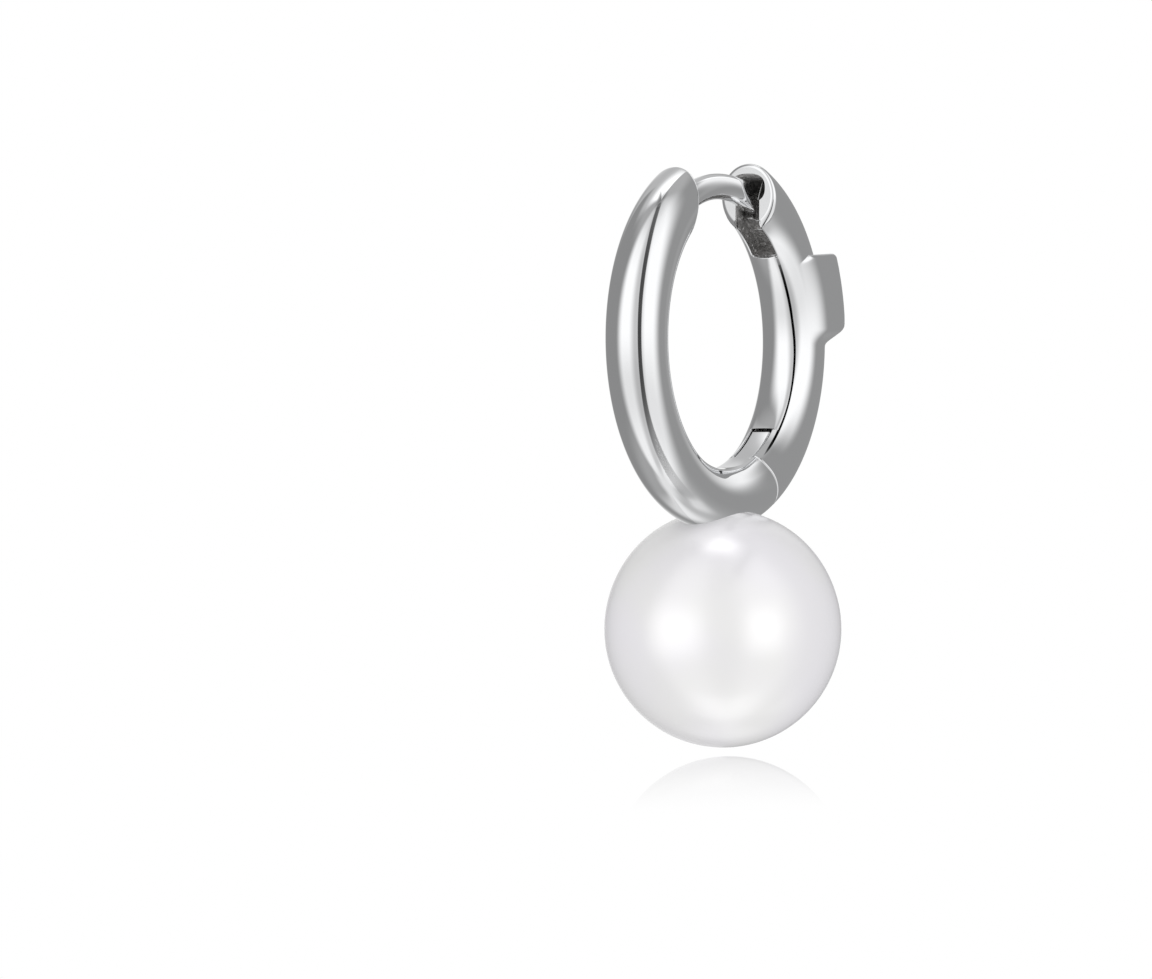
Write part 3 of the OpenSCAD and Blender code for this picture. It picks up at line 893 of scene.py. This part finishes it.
def addFloor():
    # pale floor that shines white; near the pearl it lets part of a mirrored pearl below it show, as a
    # polished top would
    mesh = bpy.data.meshes.new("paleFloor")
    half, z = floor["size"], floor["level"] * mm
    corners = [(-half, -half, z), (half, -half, z), (half, half, z), (-half, half, z)]
    mesh.from_pydata(corners, [], [(0, 1, 2, 3)])
    material, s = newMaterial("paleFloor")
    place = s.tree.nodes.new("ShaderNodeTexCoord").outputs["Object"]
    x, y = s.dot(place, (1.0, 0.0, 0.0)), s.dot(place, (0.0, 1.0, 0.0))
    far = s.math("SQRT", s.math("ADD", s.math("MULTIPLY", x, x), s.math("MULTIPLY", y, y)))
    share = s.ease(far, 0.0, floor["fade"] * mm, floor["mirror"], 0.0)
    plain = s.node("ShaderNodeEmission", Color=white, Strength=1.0)
    shown = s.mixed(share, plain, s.node("ShaderNodeBsdfTransparent"))
    mesh.materials.append(finishMaterial(material, shown))
    image = pearlBead.data.copy()
    image.name = "pearlInFloor"
    image.transform(mathutils.Matrix.Translation((0, 0, 2 * z)) @ mathutils.Matrix.Diagonal((1, 1, -1, 1)))
    image.flip_normals()
    for piece in (bpy.data.objects.new("paleFloor", mesh), bpy.data.objects.new("pearlInFloor", image)):
        bpy.context.scene.collection.objects.link(piece)
        piece.visible_glossy = piece.visible_diffuse = piece.visible_shadow = False


addFloor()

panelsAway = 60.0  # mm from where they aim
panelsAim = {"pearl": pearl["drop"], "hoop": 4.0}  # mm below the ring's centre
panels = [
    # name, what it lights, degrees round from the camera, degrees up, width and height in mm, radiance, and
    # how far its edges fade in: left, right, bottom, top, as shares of its size
    ("pearlLeft", "pearl", -48, 0, 96, 74, 0.95, (0.4, 0.4, 0.4, 0.4)),
    ("pearlRight", "pearl", 40, 0, 62, 68, 1.05, (0.4, 0.4, 0.4, 0.4)),
    ("pearlTop", "pearl", -10, 86, 40, 28, 3.0, (0.4, 0.4, 0.4, 0.4)),
    ("pearlLow", "pearl", 0, -80, 90, 36, 0.66, (0.4, 0.4, 0.2, 0.2)),
    ("rearPanel", "hoop", 131, 28, 41, 72, 0.68, (0.62, 0.04, 0.5, 0.2)),
]


def addPanels():
    # soft lights that reach only the pearl, or only the hoop and its post; the power of a rectangle of
    # radiance L is pi L w h
    reached = {"pearl": [pearlBead], "hoop": [hoopWire, earPost]}
    lit = {}
    for key, pieces in reached.items():
        lit[key] = bpy.data.collections.new(key + "Lit")
        for piece in pieces:
            lit[key].objects.link(piece)
    for name, key, around, up, width, high, radiance, edges in panels:
        light = bpy.data.lights.new(name, "AREA")
        light.shape, light.size, light.size_y = "RECTANGLE", width * mm, high * mm
        light.energy = math.pi * radiance * width * high * mm * mm
        light.use_nodes = True
        s = Shade(light.node_tree)
        glow = light.node_tree.nodes["Emission"]
        place = light.node_tree.nodes.new("ShaderNodeNewGeometry").outputs["Parametric"]
        u, v = s.dot(place, (1.0, 0.0, 0.0)), s.dot(place, (0.0, 1.0, 0.0))
        left, far, low, top = edges
        s.join(glow.inputs["Strength"], s.product(s.ease(u, 0.0, left), s.ease(u, 1.0 - far, 1.0, 1.0, 0.0),
                                                  s.ease(v, 0.0, low), s.ease(v, 1.0 - top, 1.0, 1.0, 0.0)))
        lamp = bpy.data.objects.new(name, light)
        bpy.context.scene.collection.objects.link(lamp)
        a, e = math.radians(around), math.radians(up)
        level = math.sin(a) * np.array(levelRight) + math.cos(a) * np.array(levelNear)
        toward = mathutils.Vector(math.cos(e) * level + math.sin(e) * np.array([0, 0, 1.0]))
        turn = toward.to_track_quat("Z", "Y").to_matrix().to_4x4()
        centre = mathutils.Vector((0, 0, (-ring["drop"] - panelsAim[key]) * mm))
        lamp.matrix_world = mathutils.Matrix.Translation(centre + toward * panelsAway * mm) @ turn
        lamp.light_linking.receiver_collection = lit[key]
        lamp.visible_camera = lamp.visible_diffuse = lamp.visible_transmission = False


addPanels()
print("earring: floor, rods and lights made")
